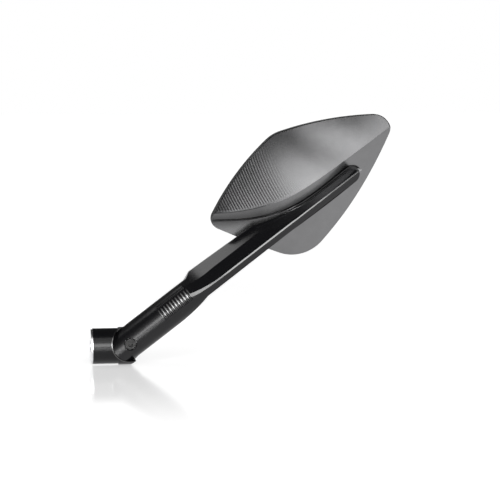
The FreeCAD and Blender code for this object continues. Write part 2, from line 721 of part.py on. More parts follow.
def make_slot(name, wall):
    """The round-ended slot round the arm's end, made wider and deeper by the wall."""
    half = d.slot_half_width + wall
    floor = d.slot_floor - wall
    start = d.valley_end - 1
    return pad_body(name, ARM, "XY_Plane", [
        (start, d.slot_middle - half), (SLOT_END, d.slot_middle - half),
        (SLOT_END, d.slot_middle + half), (start, d.slot_middle + half)],
        floor, REACH, {1: half})


def side_centre(start, end, radius):
    """The centre of the arc of this radius that bulges to the right of start to end."""
    chord_x, chord_y = end[0] - start[0], end[1] - start[1]
    chord = math.hypot(chord_x, chord_y)
    rise = math.sqrt(radius ** 2 - (chord / 2) ** 2)
    return ((start[0] + end[0]) / 2 - chord_y / chord * rise,
            (start[1] + end[1]) / 2 + chord_x / chord * rise)


def circles_meet(first, first_radius, second, second_radius, near):
    """The point shared by two circles that lies nearest to a given point."""
    across_x, across_y = second[0] - first[0], second[1] - first[1]
    apart = math.hypot(across_x, across_y)
    along = (apart ** 2 + first_radius ** 2 - second_radius ** 2) / (2 * apart)
    aside = math.sqrt(first_radius ** 2 - along ** 2)
    unit_x, unit_y = across_x / apart, across_y / apart
    spots = [(first[0] + along * unit_x - side * aside * unit_y,
              first[1] + along * unit_y + side * aside * unit_x) for side in (1, -1)]
    return min(spots, key=lambda spot: math.hypot(spot[0] - near[0], spot[1] - near[1]))


def inset_corners(inset):
    """The outline's corners when every side is moved inwards."""
    count = len(OUTLINE)
    centres = [side_centre(OUTLINE[side], OUTLINE[(side + 1) % count], SIDE_RADII[side])
               for side in range(count)]
    return [circles_meet(centres[corner - 1], SIDE_RADII[corner - 1] - inset,
                         centres[corner], SIDE_RADII[corner] - inset, OUTLINE[corner])
            for corner in range(count)]


def outline_body(name, inset, low, height):
    """A slab of the head's rounded outline, moved inwards by the inset."""
    inset = as_size(inset).value
    corners = inset_corners(inset)
    body = new_body(name, ARM)
    sketch = new_sketch(body, name + "_sides", "XY_Plane", low)
    draw_loop(sketch, corners, {side: radius - inset for side, radius in enumerate(SIDE_RADII)})
    pad = body.newObject("PartDesign::Pad", name + "_pad")
    pad.Profile = sketch
    bind(pad, Length=height)
    doc.recompute()
    for (x, y), radius in zip(corners, CORNER_RADII):
        round_upright_edge(body, x, y, radius - inset)
    return body


def round_upright_edge(body, x, y, radius):
    """Rounds the body's upright edge that stands at (x, y)."""
    base = body.Tip
    for number, edge in enumerate(base.Shape.Edges, start=1):
        ends = [vertex.Point for vertex in edge.Vertexes]
        if all(math.hypot(point.x - x, point.y - y) < 1e-3 for point in ends):
            rounding = body.newObject("PartDesign::Fillet", "corner")
            rounding.Base = (base, [f"Edge{number}"])
            bind(rounding, Radius=radius)
            doc.recompute()
            return
    raise ValueError(f"no upright edge at {x}, {y}")


def make_housing():
    rim = d.rim_depth
    wall = d.shell_wall
    ledge = d.rim_wall + d.ledge_width
    roof = make_roof("roof", outline_body("head_outline", 0, rim, 2 * REACH), 0, d.edge_radius)
    recess = outline_body("head_recess", d.rim_wall, rim - 1, d.glass_recess + 1)
    inner = outline_body("head_inner", ledge, rim - 1, 2 * REACH)
    hollow = make_roof("inner_roof", inner, wall)
    boss = cylinder("head_boss", at(ARM, d.ball_along, d.slot_middle, PLATE_TOP), d.boss_radius, REACH)
    pocket = cut("head_pocket", hollow, make_valley("inner_valley", wall), make_slot("inner_slot", wall), boss)
    seat_hole = cylinder("head_seat_hole", at(ARM, d.ball_along, d.slot_middle, PLATE_TOP - 1),
                         d.seat_radius, d.ball_depth + d.seat_height - PLATE_TOP + 1)
    plate_room = cylinder("head_plate_room", at(ARM, d.ball_along, d.slot_middle, PLATE_TOP - REACH),
                          d.plate_radius + d.plate_clearance, REACH)
    neck_hole = cylinder("head_neck_hole", at(ARM, d.ball_along, d.slot_middle, PLATE_TOP),
                         d.floor_hole_radius, REACH)
    tapped = [cylinder("head_tapped", at(ARM, x, y, PLATE_TOP - 1), d.plate_screw_radius,
                       d.plate_screw_length - d.plate_thickness + 1) for x, y in screw_spots()]
    carved = cut("head_carved", roof, make_valley("valley", 0), make_slot("slot", 0))
    doc.recompute()
    lip = doc.addObject("Part::Fillet", "head_lip")
    lip.Base = carved
    lip.Edges = [(number, d.lip_radius.value, d.lip_radius.value) for number in lip_edges(carved.Shape)]
    return cut("housing", lip, recess, pocket, seat_hole, plate_room, neck_hole, *tapped)


def make_mirror_glass():
    return outline_body("mirror_glass", d.rim_wall + d.glass_clearance,
                        d.rim_depth + d.glass_setback, d.glass_thickness)


def make_glass_tape():
    low = d.rim_depth + d.glass_setback + d.glass_thickness
    height = d.glass_recess - d.glass_setback - d.glass_thickness
    sheet_of_tape = outline_body("tape_outer", d.rim_wall + d.tape_setback, low, height)
    window = outline_body("tape_window", d.rim_wall + d.ledge_width, low - 1, height + 2)
    return cut("glass_tape", sheet_of_tape, window)


def main():
    nodes = {
        "foot": make_foot(),
        "mount_bush": make_mount_bush(),
        "pivot_screw": make_pivot_screw(),
        "pivot_washer": make_pivot_washer(),
        "disc_springs": make_disc_springs(),
        "friction_disc": make_friction_disc(),
        "lock_nut": make_lock_nut(),
        "pivot_bush": make_pivot_bush(),
        "arm": make_arm(),
        "ball_stud": make_ball_stud(),
        "stud_washer": make_stud_washer(),
        "ball_liner": make_ball_liner(),
        "seat_ring": make_seat_ring(),
        "seat_cup": make_seat_cup(),
        "seat_spring": make_seat_spring(),
        "retainer_plate": make_retainer_plate(),
        "retainer_screws": make_retainer_screws(),
        "housing": make_housing(),
        "glass_tape": make_glass_tape(),
        "mirror_glass": make_mirror_glass(),
    }
    doc.recompute()
    for thing in doc.Objects:
        if "Invalid" in thing.State or "Error" in thing.State:
            raise RuntimeError(f"{thing.Name} failed: {thing.State}")
    os.makedirs("parts", exist_ok=True)
    for label, thing in nodes.items():
        thing.Label = label
        shape = thing.Shape
        if shape.isNull() or not shape.isValid():
            raise RuntimeError(f"{label} has no valid shape")
        print(label, len(shape.Solids), round(shape.Volume, 1))
    for label, thing in nodes.items():
        thing.Shape.exportStep(f"parts/{label}.step")


main()
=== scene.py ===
# %% [markdown]
# # A motorcycle mirror, dressed for the camera
# The solids of the mirror come ready made: a round foot, a milled arm and a shield-shaped head.
# This lesson gives each one its finish, adds the fine milled arcs on the back of the head,
# and sets up the light and the camera. Everything is in metres, in the frame of the solids.

# %% Load the mirror's solids
import math

import bpy
import numpy as np
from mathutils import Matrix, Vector

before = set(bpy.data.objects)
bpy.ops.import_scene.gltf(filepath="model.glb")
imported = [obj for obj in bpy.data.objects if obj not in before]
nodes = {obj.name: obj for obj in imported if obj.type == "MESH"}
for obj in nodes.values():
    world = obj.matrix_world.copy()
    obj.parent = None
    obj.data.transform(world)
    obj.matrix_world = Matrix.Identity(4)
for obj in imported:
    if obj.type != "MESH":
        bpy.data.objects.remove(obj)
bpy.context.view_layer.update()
scene = bpy.context.scene
scene.view_settings.view_transform = "Standard"
print("solids:", len(nodes))

# %% [markdown]
# ## The arm's own directions
# The arm leaves the foot's pivot at a slant, and the head follows it. Their marks and patterns could be
# placed in the frame of the foot, but each would need its own turning. It is easier to describe them all
# in the arm's own directions: along it, across it and out of its back, in millimetres from the pivot.

# %% Arm frame
MM = 0.001
MICRON = 0.000001
PIVOT = np.array([30.9, 0.0, 2.7])
ARM_ANGLE = math.radians(37.0)
ALONG = np.array([math.cos(ARM_ANGLE), 0.0, math.sin(ARM_ANGLE)])
ACROSS = np.array([-math.sin(ARM_ANGLE), 0.0, math.cos(ARM_ANGLE)])
OUT = np.array([0.0, -1.0, 0.0])
print("arm at", round(math.degrees(ARM_ANGLE)), "degrees")

# %% [markdown]
# ## The camera
# The photograph looks as if it was taken with a long lens, a little to the left of straight on and
# a little above. A short lens close by could frame the mirror too, but it would swell what is near.
# A 135 mm lens one and a half metres away gives the same flat perspective.

# %% Camera
VIEW_AZIMUTH, VIEW_ELEVATION = -8.0, 6.0
VIEW_DISTANCE = 1.5
LENS, SENSOR = 135.0, 36.0
LOOK_AT = Vector((0.128005, 0.0, 0.075002))


def direction_at(azimuth, elevation):
    """The unit vector at these angles, in degrees; at 0 and 0 it points straight out of the mirror's back."""
    turn, rise = math.radians(azimuth), math.radians(elevation)
    return Vector((math.sin(turn) * math.cos(rise), -math.cos(turn) * math.cos(rise), math.sin(rise)))


towards_camera = direction_at(VIEW_AZIMUTH, VIEW_ELEVATION)
camera_data = bpy.data.cameras.new("camera")
camera_data.lens = LENS
camera_data.sensor_width = SENSOR
camera = bpy.data.objects.new("camera", camera_data)
camera.location = LOOK_AT + VIEW_DISTANCE * towards_camera
camera.rotation_euler = towards_camera.to_track_quat("Z", "Y").to_euler()
scene.collection.objects.link(camera)
scene.camera = camera
print("camera at", [round(v, 3) for v in camera.location])

# %% [markdown]
# ## The floor
# The mirror lies on a white glossy surface. A wide flat grid just under the foot does for it; it belongs
# to the studio and not to the mirror.

# %% Floor
FLOOR_LEVEL = -0.01505
FLOOR_HALF = 6.0
FLOOR_POINTS = 9


def grid_mesh(name, points):
    """A mesh of quads from an array of points (rows, columns, 3)."""
    rows, columns = points.shape[:2]
    index = np.arange(rows * columns).reshape(rows, columns)
    quads = np.stack([index[:-1, :-1], index[:-1, 1:], index[1:, 1:], index[1:, :-1]], axis=-1)
    mesh = bpy.data.meshes.new(name)
    mesh.from_pydata(points.reshape(-1, 3).tolist(), [], quads.reshape(-1, 4).tolist())
    mesh.polygons.foreach_set("use_smooth", np.ones(len(mesh.polygons), dtype=bool))
    mesh.update()
    piece = bpy.data.objects.new(name, mesh)
    scene.collection.objects.link(piece)
    return piece


def flat_floor(name, half, level):
    """A square: x = half*(2s - 1), y = half*(2t - 1), z = level, for s and t from 0 to 1."""
    share = np.linspace(0.0, 1.0, FLOOR_POINTS)
    s, t = np.meshgrid(share, share)
    points = np.stack([half * (2 * s - 1), half * (2 * t - 1), np.full_like(s, level)], axis=-1)
    return grid_mesh(name, points)


floor = flat_floor("floor", FLOOR_HALF, FLOOR_LEVEL)
print("floor at", FLOOR_LEVEL)

# %% [markdown]
# ## The lamps
# Dark gloss and satin metal show what stands around them, so a lamp is placed by asking where each face
# looks when it mirrors the camera's line of sight. Two soft boxes stand where the sculpted back of the
# head looks. A narrow one stands where the arm's fin looks. A broad one in front draws the long
# highlights on the round foot, on the arm's root and along its ridge.

# %% Lights
HEAD_MIDDLE = Vector((0.19, 0.0, 0.14))
FIN_MIDDLE = Vector((0.089, 0.0, 0.062))
ARM_MIDDLE = Vector((0.08, 0.0, 0.05))


def soft_box(name, target, azimuth, elevation, distance, width, height, power):
    """A rectangular lamp that faces a target, in the given direction and distance from it."""
    direction = direction_at(azimuth, elevation)
    lamp = bpy.data.lights.new(name, "AREA")
    lamp.shape = "RECTANGLE"
    lamp.size, lamp.size_y = width, height
    lamp.energy = power
    light = bpy.data.objects.new(name, lamp)
    light.location = target + distance * direction
    light.rotation_euler = direction.to_track_quat("Z", "Y").to_euler()
    scene.collection.objects.link(light)


soft_box("head_light", HEAD_MIDDLE, azimuth=-13.0, elevation=28.0, distance=1.2,
         width=0.54, height=0.38, power=1.5)
soft_box("tip_light", HEAD_MIDDLE, azimuth=20.0, elevation=49.0, distance=1.2,
         width=0.84, height=0.48, power=3.1)
soft_box("fin_light", FIN_MIDDLE, azimuth=-114.0, elevation=53.0, distance=0.5,
         width=0.40, height=0.08, power=0.28)
soft_box("front_light", ARM_MIDDLE, azimuth=-1.0, elevation=11.0, distance=2.0,
         width=0.55, height=0.74, power=15.5)
print("lights:", len(bpy.data.lights))

# %% [markdown]
# ## The room
# The room is white up to nine degrees above the horizon and almost dark from 21 degrees on. An evenly
# white sky would be simpler, but it would grey over every dark face. With a dark ceiling the black stays
# black, and the white wall still shows behind the mirror.

# %% Surroundings
WALL_TOP, DARK_FROM = math.sin(math.radians(9.0)), math.sin(math.radians(21.0))
WALL_TONE, CEILING_TONE = 1.0, 0.05


def grey(tone):
    """An opaque grey of this tone."""
    return (tone, tone, tone, 1.0)


world = bpy.data.worlds.new("studio")
scene.world = world
world.use_nodes = True
sky = world.node_tree
sky.nodes.clear()
sky_out = sky.nodes.new("ShaderNodeOutputWorld")
sky_back = sky.nodes.new("ShaderNodeBackground")
sky_place = sky.nodes.new("ShaderNodeTexCoord")
sky_split = sky.nodes.new("ShaderNodeSeparateXYZ")
sky_ramp = sky.nodes.new("ShaderNodeValToRGB")
sky.links.new(sky_place.outputs["Generated"], sky_split.inputs[0])
sky.links.new(sky_split.outputs["Z"], sky_ramp.inputs["Fac"])
sky.links.new(sky_ramp.outputs["Color"], sky_back.inputs["Color"])
sky.links.new(sky_back.outputs[0], sky_out.inputs["Surface"])
wall, ceiling = sky_ramp.color_ramp.elements
wall.position, wall.color = WALL_TOP, grey(WALL_TONE)
ceiling.position, ceiling.color = DARK_FROM, grey(CEILING_TONE)
print("white up to", round(math.degrees(math.asin(WALL_TOP))), "degrees")

# %% [markdown]
# ## Shared grain
# Machined and anodised aluminium is never quite even: the cutter leaves fine lines and the dye takes
# a little unevenly. An image of scratches could show that, but it would need a flat layout of every piece.
# One shared node group makes the grain from noise, and each finish uses it in its own measure.

# %% Shared grain
FLOAT, VECTOR = "NodeSocketFloat", "NodeSocketVector"
GRAIN_DETAIL = 4.0


def new_group(name, inputs, outputs):
    """An empty shader node group with its sockets; returns the group, its start and its end."""
    group = bpy.data.node_groups.new(name, "ShaderNodeTree")
    for socket, kind in inputs:
        group.interface.new_socket(socket, in_out="INPUT", socket_type=kind)
    for socket, kind in outputs:
        group.interface.new_socket(socket, in_out="OUTPUT", socket_type=kind)
    return group, group.nodes.new("NodeGroupInput"), group.nodes.new("NodeGroupOutput")


def make_grain_group():
    """Noise between 0 and 1, spread between Low and High."""
    group, start, end = new_group(
        "machined_grain", [("Vector", VECTOR), ("Scale", FLOAT), ("Low", FLOAT), ("High", FLOAT)],
        [("Value", FLOAT)])
    noise = group.nodes.new("ShaderNodeTexNoise")
    noise.inputs["Detail"].default_value = GRAIN_DETAIL
    spread = group.nodes.new("ShaderNodeMapRange")
    group.links.new(start.outputs["Vector"], noise.inputs["Vector"])
    group.links.new(start.outputs["Scale"], noise.inputs["Scale"])
    group.links.new(noise.outputs["Fac"], spread.inputs["Value"])
    group.links.new(start.outputs["Low"], spread.inputs["To Min"])
    group.links.new(start.outputs["High"], spread.inputs["To Max"])
    group.links.new(spread.outputs["Result"], end.inputs["Value"])
    return group


grain_group = make_grain_group()
print("group:", grain_group.name)

# %% [markdown]
# ## The crease of the head
# Two facets of the head's back meet in a crease, and the milled arcs stop there. The line could be typed in
# as numbers, but then it would stay behind if the head changed. So it is read off the solid: it runs
# through the spots that touch both a face that leans up and a face that leans down.

# %% Crease line
OUTWARD, LEANING = 0.6, 0.1
SAME_SPOT_DECIMALS = 2
CREASE_DEGREE = 4


def mesh_array(items, field, width, kind=float):
    """One field of all mesh items as an array of rows."""
    values = np.empty(len(items) * width, dtype=kind)
    items.foreach_get(field, values)
    return values.reshape(-1, width)


def crease_curve(mesh, degree):
    """The polynomial v(u), in millimetres along and across the arm, through the spots on the crease."""
    corners = mesh_array(mesh.loops, "vertex_index", 1, int)[:, 0]
    places = np.round(mesh_array(mesh.vertices, "co", 3) / MM, SAME_SPOT_DECIMALS)
    spots, spot_of = np.unique(places, axis=0, return_inverse=True)
    highlit = spot_of.ravel()[corners]
    normals = mesh_array(mesh.polygons, "normal", 3)
    sizes = mesh_array(mesh.polygons, "loop_total", 1, int)[:, 0]
    lean = np.repeat((normals @ ACROSS) * (normals @ OUT > OUTWARD), sizes)
    highest, lowest = np.full(len(spots), -1.0), np.full(len(spots), 1.0)
    np.maximum.at(highest, highlit, lean)
    np.minimum.at(lowest, highlit, lean)
    turning = spots[(highest > LEANING) & (lowest < -LEANING)] - PIVOT
    return np.polyfit(turning @ ALONG, turning @ ACROSS, degree)


CREASE = crease_curve(nodes["housing"].data, CREASE_DEGREE)
print("crease at 120 and 200 mm:", np.round(np.polyval(CREASE, [120.0, 200.0]), 1))

# %% [markdown]
# ## Sums in nodes
# Every mark on the mirror is a mask: a number from 0 to 1 worked out from the place on the surface.
# Wiring each node by hand takes four lines, so a few helpers add a node for a sum and hand on its output.

# %% Sums in nodes


def calculate(tree, operation, *values, clamp=False):
    """A math node; each value is a number or the output it is linked to."""
    node = tree.nodes.new("ShaderNodeMath")
    node.operation = operation
    node.use_clamp = clamp
    for socket, value in zip(node.inputs, values):
        if isinstance(value, (int, float)):
            socket.default_value = value
        else:
            tree.links.new(value, socket)
    return node.outputs[0]


def multiply(tree, product, *factors):
    """The product of all the values."""
    for factor in factors:
        product = calculate(tree, "MULTIPLY", product, factor)
    return product


def greatest(tree, most, *others):
    """The greatest of all the values."""
    for other in others:
        most = calculate(tree, "MAXIMUM", most, other)
    return most


def dot(tree, vector, direction):
    """The dot product of a vector output and a fixed direction."""
    node = tree.nodes.new("ShaderNodeVectorMath")
    node.operation = "DOT_PRODUCT"
    node.inputs[1].default_value = direction
    tree.links.new(vector, node.inputs[0])
    return node.outputs["Value"]


def distance_along(tree, place, direction):
    """How far a place lies from the pivot along a direction, in millimetres."""
    return calculate(tree, "SUBTRACT", dot(tree, place, direction / MM), float(PIVOT @ direction))


def distance_from(tree, first, second, centre):
    """sqrt((first - centre0)^2 + (second - centre1)^2), the distance from a centre in a plane."""
    side = calculate(tree, "SUBTRACT", first, centre[0])
    rise = calculate(tree, "SUBTRACT", second, centre[1])
    return calculate(tree, "SQRT", calculate(tree, "MULTIPLY_ADD", side, side, multiply(tree, rise, rise)))


def fade_between(tree, value, start, end):
    """0 up to the start, 1 from the end on, and a straight line between."""
    return calculate(tree, "MULTIPLY_ADD", value, 1 / (end - start), -start / (end - start), clamp=True)


def tent(tree, value, middle, half):
    """1 at the middle, falling to 0 at half the width on either side."""
    away = calculate(tree, "ABSOLUTE", calculate(tree, "SUBTRACT", value, middle))
    return calculate(tree, "MULTIPLY_ADD", away, -1 / half, 1.0, clamp=True)


def height_over_crease(tree, along, across):
    """across - crease(along), with the crease's polynomial worked out by Horner's rule."""
    line = float(CREASE[0])
    for coefficient in CREASE[1:]:
        line = calculate(tree, "MULTIPLY_ADD", line, along, float(coefficient))
    return calculate(tree, "SUBTRACT", across, line)


print("crease worked out with", len(CREASE), "coefficients")

# %% [markdown]
# ## Milled arcs
# A large cutter has left fine arcs on the head's upper facet, about a point beyond the head's tip. They
# fade out to the right and stop at the crease. Cut as real grooves they would take very many faces, so
# they are a wave of height that a Bump node turns into relief. The mask also keeps them off the side walls.

# %% Arcs group
ARC_CENTRE = (296.0, 6.0)
ARC_PITCH = 2.05
ARC_FADE = (118.0, 150.0)
ARC_CLEAR = (1.0, 2.5)
ARC_TURN = (0.4, 0.6)


def make_arcs_group():
    """Height 0.5 - 0.5*cos(2*pi*r/pitch) at distance r from the arcs' centre, on faces turned outwards."""
    group, start, end = new_group(
        "milled_arcs", [("Vector", VECTOR), ("Normal", VECTOR)], [("Height", FLOAT)])
    along = distance_along(group, start.outputs["Vector"], ALONG)
    across = distance_along(group, start.outputs["Vector"], ACROSS)
    radius = distance_from(group, along, across, ARC_CENTRE)
    wave = calculate(group, "COSINE", multiply(group, radius, 2 * math.pi / ARC_PITCH))
    ridge = calculate(group, "MULTIPLY_ADD", wave, -0.5, 0.5)
    far = fade_between(group, radius, *ARC_FADE)
    above = fade_between(group, height_over_crease(group, along, across), *ARC_CLEAR)
    turned = fade_between(group, dot(group, start.outputs["Normal"], OUT), *ARC_TURN)
    group.links.new(multiply(group, ridge, far, above, turned), end.inputs["Height"])
    return group


arcs_group = make_arcs_group()
print("arcs", ARC_PITCH, "mm apart")

# %% [markdown]
# ## Painted shade in the hollows
# The head's colour is painted darker in the hollows, as painted shade: along the crease, under the lip, in
# the slot round the arm and on the narrow side walls. Light alone doesn't darken them enough, because the
# metal mirrors the white floor there. So a mask names these places, and the finish is darker where it says.

# %% Painted shade group
# Painted shade: how wide, where and how dark the crease line, the lip, the slot and the rim are painted.
CREASE_WIDTH, CREASE_FADE, CREASE_SHADE = 0.9, (160.0, 150.0), 0.7
LIP_DROP, LIP_WIDTH, LIP_EDGE = 9.0, 13.0, (0.5, -0.5)
LIP_FADE, LIP_SHADE = (165.0, 145.0), 0.7
SLOT_END, SLOT_HALF, SLOT_SOFT = (223.0, -2.85), 7.0, 0.4
SLOT_FADE, SLOT_SHADE = (135.0, 165.0), 0.85
RIM_TURN, RIM_SHADE = (0.75, 0.4), 0.6


def make_painted_shade_group():
    """How dark the shade is painted: the greatest of the painted shades of the crease, the lip, the slot and
    the rim.
    """
    group, start, end = new_group(
        "painted_shade", [("Vector", VECTOR), ("Normal", VECTOR)], [("Shade", FLOAT)])
    along = distance_along(group, start.outputs["Vector"], ALONG)
    across = distance_along(group, start.outputs["Vector"], ACROSS)
    over = height_over_crease(group, along, across)
    line = multiply(group, tent(group, over, 0.0, CREASE_WIDTH), fade_between(group, along, *CREASE_FADE),
                    CREASE_SHADE)
    lip = multiply(group, tent(group, over, -LIP_DROP, LIP_WIDTH), fade_between(group, over, *LIP_EDGE),
                   fade_between(group, along, *LIP_FADE), LIP_SHADE)
    aside = distance_from(group, calculate(group, "MAXIMUM", along, SLOT_END[0]), across, SLOT_END)
    slot = multiply(group, fade_between(group, aside, SLOT_HALF + SLOT_SOFT, SLOT_HALF),
                    fade_between(group, along, *SLOT_FADE), SLOT_SHADE)
    facing = dot(group, start.outputs["Normal"], OUT)
    rim = multiply(group, fade_between(group, facing, *RIM_TURN), RIM_SHADE)
    group.links.new(greatest(group, line, lip, slot, rim), end.inputs["Shade"])
    return group


painted_shade_group = make_painted_shade_group()
print("slot", 2 * SLOT_HALF, "mm wide")

# %% [markdown]
# ## The pocket's painted highlight
# The pocket in the foot that takes the arm's end shows a thin bright edge, so a highlight is painted on it.
# A chamfer in the solid would show it too, but it is narrower than a pixel there. A mask on a ring round
# the pocket paints metal as a highlight just outside its wall.

# %% Pocket highlight group
# Painted highlight: a thin ring of bright metal on the pocket's edge, on the side turned to the camera.
POCKET_RADIUS, EDGE_WIDTH = 14.4, 0.75
EDGE_START, EDGE_SOFT, EDGE_FRONT = 0.02, 1 / 6, 0.5


def make_pocket_highlight_group():
    """The painted highlight: 1 within EDGE_WIDTH outside the pocket's radius, on the side turned to the
    camera.
    """
    group, start, end = new_group("painted_highlight", [("Vector", VECTOR)], [("Mask", FLOAT)])
    along = distance_along(group, start.outputs["Vector"], ALONG)
    across = distance_along(group, start.outputs["Vector"], ACROSS)
    out = distance_along(group, start.outputs["Vector"], OUT)
    radius = distance_from(group, along, across, (0.0, 0.0))
    last = POCKET_RADIUS + EDGE_WIDTH
    inside = fade_between(group, radius, last, last - EDGE_SOFT)
    outside = calculate(group, "GREATER_THAN", radius, POCKET_RADIUS + EDGE_START)
    front = calculate(group, "GREATER_THAN", out, EDGE_FRONT)
    group.links.new(multiply(group, inside, outside, front), end.inputs["Mask"])
    return group


pocket_highlight_group = make_pocket_highlight_group()
print("edge", EDGE_WIDTH, "mm wide")

# %% [markdown]
# ## The arm's painted ridge highlight
# The narrow flat along the arm's ridge gets a painted highlight: a thin line of metal in its black.
# The flat is the outermost face in a direction that leans a little across the arm, so the mask is simply
# the height in that direction, and it needs no list of faces.

# %% Ridge group
# Painted highlight: a thin line of metal along the ridge flat.
RIDGE_TILT = math.radians(6.0)
RIDGE_DEPTH = 12.35
RIDGE_BAND = (RIDGE_DEPTH - 0.08, RIDGE_DEPTH - 0.02)
RIDGE_FROM, RIDGE_TO = (80.0, 96.0), (208.0, 190.0)


def make_ridge_highlight_group():
    """1 on the arm's ridge flat, where v*sin(tilt) + w*cos(tilt) reaches its depth, fading at both ends."""
    group, start, end = new_group("painted_ridge_highlight", [("Vector", VECTOR)], [("Mask", FLOAT)])
    along = distance_along(group, start.outputs["Vector"], ALONG)
    leaning = math.sin(RIDGE_TILT) * ACROSS + math.cos(RIDGE_TILT) * OUT
    on_flat = fade_between(group, distance_along(group, start.outputs["Vector"], leaning), *RIDGE_BAND)
    begun, ended = fade_between(group, along, *RIDGE_FROM), fade_between(group, along, *RIDGE_TO)
    group.links.new(multiply(group, on_flat, begun, ended), end.inputs["Mask"])
    return group


ridge_highlight_group = make_ridge_highlight_group()
print("ridge", RIDGE_DEPTH, "mm out")

# %% [markdown]
# ## The arm's painted rib highlights
# The ribs near the pivot get painted highlights on their lands, strongest where the arm's highlight band
# crosses them. In the picture a rib and its groove take less than two pixels. If every rib were bright they
# would run together into one grey patch, so the highlight shows on every other one.

# %% Ribs group
# Painted highlight: bright metal on every other rib's land, across the highlight band.
RIB_START, RIB_PITCH, RIB_LAND = 33.0, 1.4, 0.8
RIB_CONTRAST = 1.5
RIB_MIDDLE, RIB_HALF = 4.0, 4.0
RIB_FROM, RIB_TO, RIB_OUT = (33.0, 34.0), (62.0, 60.0), (8.0, 9.0)


def make_rib_highlight_group():
    """Every other rib's land, cos(pi*u/pitch) above 0, strongest where the highlight band crosses the ribs.
    """
    group, start, end = new_group("painted_rib_highlight", [("Vector", VECTOR)], [("Mask", FLOAT)])
    along = distance_along(group, start.outputs["Vector"], ALONG)
    across = distance_along(group, start.outputs["Vector"], ACROSS)
    out = distance_along(group, start.outputs["Vector"], OUT)
    turn = math.pi / RIB_PITCH
    first_land = -turn * (RIB_START + RIB_LAND / 2)
    wave = calculate(group, "COSINE", calculate(group, "MULTIPLY_ADD", along, turn, first_land))
    lands = calculate(group, "MULTIPLY", wave, RIB_CONTRAST, clamp=True)
    highlit = multiply(group, tent(group, across, RIB_MIDDLE, RIB_HALF), fade_between(group, out, *RIB_OUT))
    begun, ended = fade_between(group, along, *RIB_FROM), fade_between(group, along, *RIB_TO)
    group.links.new(multiply(group, lands, highlit, begun, ended), end.inputs["Mask"])
    return group


rib_highlight_group = make_rib_highlight_group()
print("ribs", RIB_PITCH, "mm apart")

# %% [markdown]
# ## The arm's turned root
# The arm's round root was turned and the rest was milled and polished, so the root is less glossy.
# Two materials would leave a hard line where they meet. A mask that fades along the arm joins them softly.

# %% Root group
ROOT_FADE = (66.0, 54.0)


def make_root_group():
    """1 on the arm's round root and 0 on the milled length beyond it."""
    group, start, end = new_group("turned_root", [("Vector", VECTOR)], [("Mask", FLOAT)])
    along = distance_along(group, start.outputs["Vector"], ALONG)
    group.links.new(fade_between(group, along, *ROOT_FADE), end.inputs["Mask"])
    return group


root_group = make_root_group()
print("root fades out at", ROOT_FADE[0], "mm")

# %% [markdown]
# ## A finish
# A finish is a colour, a roughness and a slight relief, all varied by the grain. The grain is stretched
# along the path of the cutter, so that a turned piece and a milled one look different. Steel, bronze and
# plastics mostly hide inside the mirror, but a reader who takes it apart finds them dressed as well.
# The mirror glass is a sheet of glass with silver behind it. Clear glass over a metal would be truer, but
# almost all that is seen of it is the silver, so it is a bright metal with next to no roughness.

# %% Plain finishes
BLOTCH_SCALE = 0.1


def add_group(tree, group, vector):
    """A node for a group, linked to the place it works on."""
    node = tree.nodes.new("ShaderNodeGroup")
    node.node_tree = group
    tree.links.new(vector, node.inputs["Vector"])
    return node


def add_grain(tree, vector, scale, low, high):
    """The shared grain, spread between low and high."""
    grain = add_group(tree, grain_group, vector)
    grain.inputs["Scale"].default_value = scale
    grain.inputs["Low"].default_value = low
    grain.inputs["High"].default_value = high
    return grain.outputs["Value"]


def finish(name, colour, metallic, roughness, stretch=(1, 1, 1), turn=(0, 0, 0), scale=900.0,
           spread=0.03, tone=0.08, ior=1.5, specular_tint=1.0, depth=4 * MICRON):
    """A finish whose colour, roughness and relief vary with grain stretched along the cutter's path.

    The roughness varies by spread and the colour by tone, and depth is how deep the relief is. A low
    specular_tint dims what a metal mirrors at a slant, or what a coat mirrors straight on.
    """
    material = bpy.data.materials.new(name)
    material.use_nodes = True
    tree = material.node_tree
    shader = tree.nodes["Principled BSDF"]
    shader.inputs["Metallic"].default_value = metallic
    shader.inputs["IOR"].default_value = ior
    shader.inputs["Specular Tint"].default_value = grey(specular_tint)
    place = tree.nodes.new("ShaderNodeTexCoord")
    mapping = tree.nodes.new("ShaderNodeMapping")
    mapping.inputs["Rotation"].default_value = turn
    mapping.inputs["Scale"].default_value = stretch
    tree.links.new(place.outputs["Object"], mapping.inputs["Vector"])
    grain_at = mapping.outputs["Vector"]
    rough = add_grain(tree, grain_at, scale, roughness - spread, roughness + spread)
    tree.links.new(rough, shader.inputs["Roughness"])
    shade = add_grain(tree, grain_at, scale * BLOTCH_SCALE, 1.0 - tone, 1.0 + tone)
    tint = tree.nodes.new("ShaderNodeVectorMath")
    tint.name = "tint"
    tint.operation = "SCALE"
    tint.inputs[0].default_value = colour
    tree.links.new(shade, tint.inputs["Scale"])
    tree.links.new(tint.outputs["Vector"], shader.inputs["Base Color"])
    relief = tree.nodes.new("ShaderNodeBump")
    relief.name = "relief"
    relief.inputs["Distance"].default_value = depth
    tree.links.new(add_grain(tree, grain_at, scale, 0.0, 1.0), relief.inputs["Height"])
    tree.links.new(relief.outputs["Normal"], shader.inputs["Normal"])
    return material


